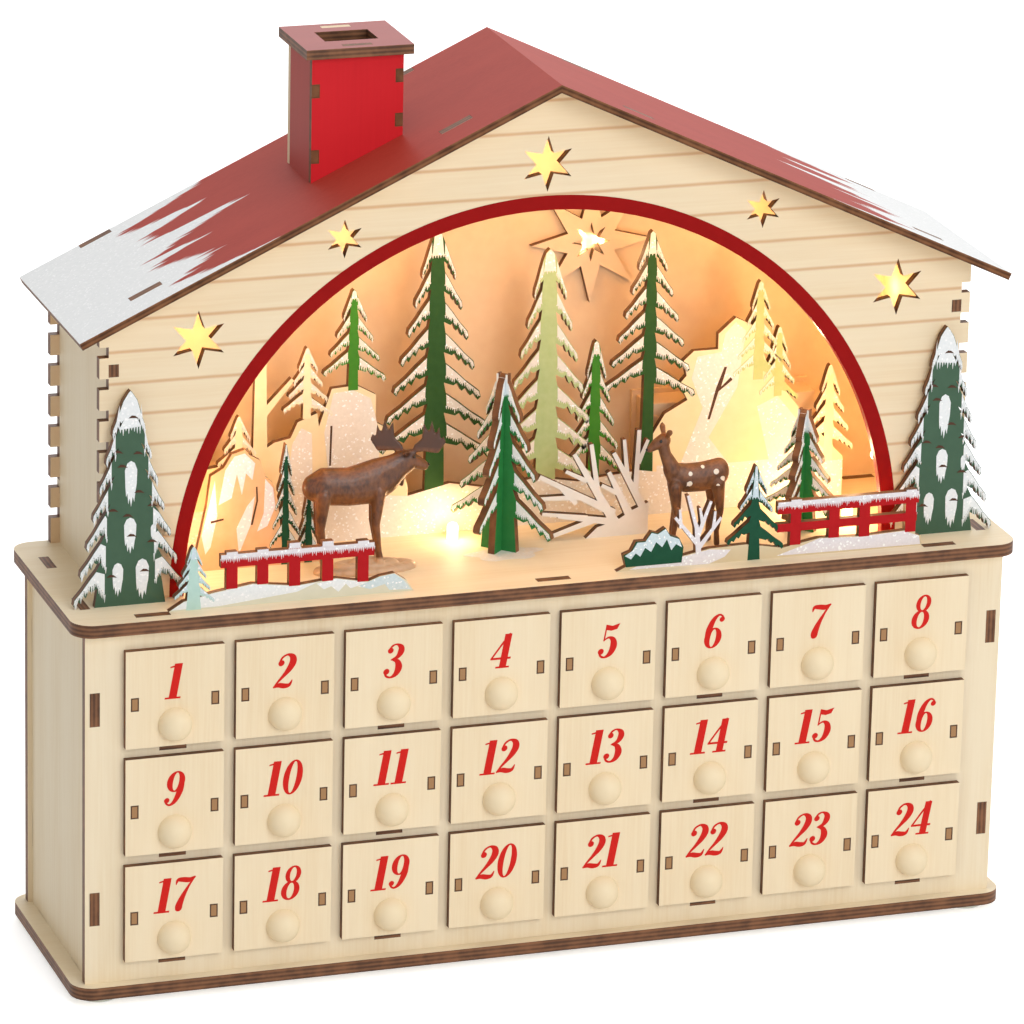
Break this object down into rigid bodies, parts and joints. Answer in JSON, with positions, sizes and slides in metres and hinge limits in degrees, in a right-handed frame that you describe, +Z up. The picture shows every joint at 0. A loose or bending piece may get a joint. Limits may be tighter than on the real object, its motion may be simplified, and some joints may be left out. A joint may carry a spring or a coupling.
{
  "type": "wooden advent calendar",
  "caption": "Plywood advent calendar: a cabinet of small numbered drawers under a gabled cottage with a lit winter forest scene in an arch, chimney and snowy roof.",
  "frame": {"origin": "centre of the plan on the surface that it stands on", "axes": "+Z up, +X to the right and -Y out of the front, where the drawers pull out"},
  "size_m": [0.4004, 0.1104, 0.3783],
  "materials": {
    "board_birch": "satin",
    "cabinet_birch": "satin",
    "inner_birch": "raw",
    "drawer_birch": "satin",
    "cottage_birch": "satin",
    "roof_red": "matte paint",
    "chimney_red": "matte paint",
    "painted_birch": "raw, laser cut",
    "figure_resin": "painted",
    "led_epoxy": "clear",
    "case_plastic": "moulded",
    "switch_plastic": "moulded",
    "cell_sleeve": "gloss",
    "contact_nickel": "plated",
    "foot_rubber": "clear matte"
  },
  "bodies": {
    "calendar": {"base_board": "board_birch", "top_board": "board_birch", "rubber_feet": "foot_rubber", "cabinet_front": "cabinet_birch", "cabinet_back": "cabinet_birch", "cabinet_left_side": "cabinet_birch", "cabinet_right_side": "cabinet_birch", "drawer_shelves": "inner_birch", "drawer_dividers": "inner_birch", "house_front": "cottage_birch", "house_back": "cottage_birch", "house_left_wall": "cottage_birch", "house_right_wall": "cottage_birch", "roof_left": "roof_red", "roof_right": "roof_red", "chimney_walls": "chimney_red", "chimney_cap": "roof_red", "corner_fir_left": "painted_birch", "corner_fir_right": "painted_birch", "middle_fir": "painted_birch", "right_fir": "painted_birch", "rear_forest": "painted_birch", "great_star": "painted_birch", "rock_and_small_firs": "painted_birch", "white_thicket": "painted_birch", "front_left_scenery": "painted_birch", "front_right_scenery": "painted_birch", "moose": "figure_resin", "fawn": "figure_resin", "led_bulbs": "led_epoxy", "battery_case": "case_plastic", "battery_cells": "cell_sleeve", "battery_contacts": "contact_nickel"},
    "drawer_01": {"drawer_01": "drawer_birch"},
    "drawer_02": {"drawer_02": "drawer_birch"},
    "drawer_03": {"drawer_03": "drawer_birch"},
    "drawer_04": {"drawer_04": "drawer_birch"},
    "drawer_05": {"drawer_05": "drawer_birch"},
    "drawer_06": {"drawer_06": "drawer_birch"},
    "drawer_07": {"drawer_07": "drawer_birch"},
    "drawer_08": {"drawer_08": "drawer_birch"},
    "drawer_09": {"drawer_09": "drawer_birch"},
    "drawer_10": {"drawer_10": "drawer_birch"},
    "drawer_11": {"drawer_11": "drawer_birch"},
    "drawer_12": {"drawer_12": "drawer_birch"},
    "drawer_13": {"drawer_13": "drawer_birch"},
    "drawer_14": {"drawer_14": "drawer_birch"},
    "drawer_15": {"drawer_15": "drawer_birch"},
    "drawer_16": {"drawer_16": "drawer_birch"},
    "drawer_17": {"drawer_17": "drawer_birch"},
    "drawer_18": {"drawer_18": "drawer_birch"},
    "drawer_19": {"drawer_19": "drawer_birch"},
    "drawer_20": {"drawer_20": "drawer_birch"},
    "drawer_21": {"drawer_21": "drawer_birch"},
    "drawer_22": {"drawer_22": "drawer_birch"},
    "drawer_23": {"drawer_23": "drawer_birch"},
    "drawer_24": {"drawer_24": "drawer_birch"},
    "battery_cover": {"battery_cover": "case_plastic"},
    "switch_slider": {"switch_slider": "switch_plastic"}
  },
  "joints": [
    {"name": "drawer_01_slide", "type": "slide", "parent": "calendar", "child": "drawer_01", "axis": [0, -1, 0], "range_m": [0, 0.07]},
    {"name": "drawer_02_slide", "type": "slide", "parent": "calendar", "child": "drawer_02", "axis": [0, -1, 0], "range_m": [0, 0.07]},
    {"name": "drawer_03_slide", "type": "slide", "parent": "calendar", "child": "drawer_03", "axis": [0, -1, 0], "range_m": [0, 0.07]},
    {"name": "drawer_04_slide", "type": "slide", "parent": "calendar", "child": "drawer_04", "axis": [0, -1, 0], "range_m": [0, 0.07]},
    {"name": "drawer_05_slide", "type": "slide", "parent": "calendar", "child": "drawer_05", "axis": [0, -1, 0], "range_m": [0, 0.07]},
    {"name": "drawer_06_slide", "type": "slide", "parent": "calendar", "child": "drawer_06", "axis": [0, -1, 0], "range_m": [0, 0.07]},
    {"name": "drawer_07_slide", "type": "slide", "parent": "calendar", "child": "drawer_07", "axis": [0, -1, 0], "range_m": [0, 0.07]},
    {"name": "drawer_08_slide", "type": "slide", "parent": "calendar", "child": "drawer_08", "axis": [0, -1, 0], "range_m": [0, 0.07]},
    {"name": "drawer_09_slide", "type": "slide", "parent": "calendar", "child": "drawer_09", "axis": [0, -1, 0], "range_m": [0, 0.07]},
    {"name": "drawer_10_slide", "type": "slide", "parent": "calendar", "child": "drawer_10", "axis": [0, -1, 0], "range_m": [0, 0.07]},
    {"name": "drawer_11_slide", "type": "slide", "parent": "calendar", "child": "drawer_11", "axis": [0, -1, 0], "range_m": [0, 0.07]},
    {"name": "drawer_12_slide", "type": "slide", "parent": "calendar", "child": "drawer_12", "axis": [0, -1, 0], "range_m": [0, 0.07]},
    {"name": "drawer_13_slide", "type": "slide", "parent": "calendar", "child": "drawer_13", "axis": [0, -1, 0], "range_m": [0, 0.07]},
    {"name": "drawer_14_slide", "type": "slide", "parent": "calendar", "child": "drawer_14", "axis": [0, -1, 0], "range_m": [0, 0.07]},
    {"name": "drawer_15_slide", "type": "slide", "parent": "calendar", "child": "drawer_15", "axis": [0, -1, 0], "range_m": [0, 0.07]},
    {"name": "drawer_16_slide", "type": "slide", "parent": "calendar", "child": "drawer_16", "axis": [0, -1, 0], "range_m": [0, 0.07]},
    {"name": "drawer_17_slide", "type": "slide", "parent": "calendar", "child": "drawer_17", "axis": [0, -1, 0], "range_m": [0, 0.07]},
    {"name": "drawer_18_slide", "type": "slide", "parent": "calendar", "child": "drawer_18", "axis": [0, -1, 0], "range_m": [0, 0.07]},
    {"name": "drawer_19_slide", "type": "slide", "parent": "calendar", "child": "drawer_19", "axis": [0, -1, 0], "range_m": [0, 0.07]},
    {"name": "drawer_20_slide", "type": "slide", "parent": "calendar", "child": "drawer_20", "axis": [0, -1, 0], "range_m": [0, 0.07]},
    {"name": "drawer_21_slide", "type": "slide", "parent": "calendar", "child": "drawer_21", "axis": [0, -1, 0], "range_m": [0, 0.07]},
    {"name": "drawer_22_slide", "type": "slide", "parent": "calendar", "child": "drawer_22", "axis": [0, -1, 0], "range_m": [0, 0.07]},
    {"name": "drawer_23_slide", "type": "slide", "parent": "calendar", "child": "drawer_23", "axis": [0, -1, 0], "range_m": [0, 0.07]},
    {"name": "drawer_24_slide", "type": "slide", "parent": "calendar", "child": "drawer_24", "axis": [0, -1, 0], "range_m": [0, 0.07]},
    {"name": "battery_cover_swing", "type": "hinge", "parent": "calendar", "child": "battery_cover", "pos_m": [0.104, 0.0552, 0.171], "axis": [-1, 0, 0], "range_deg": [0, 80]},
    {"name": "switch_slide", "type": "slide", "parent": "calendar", "child": "switch_slider", "axis": [0, 0, 1], "range_m": [0, 0.004]}
  ]
}
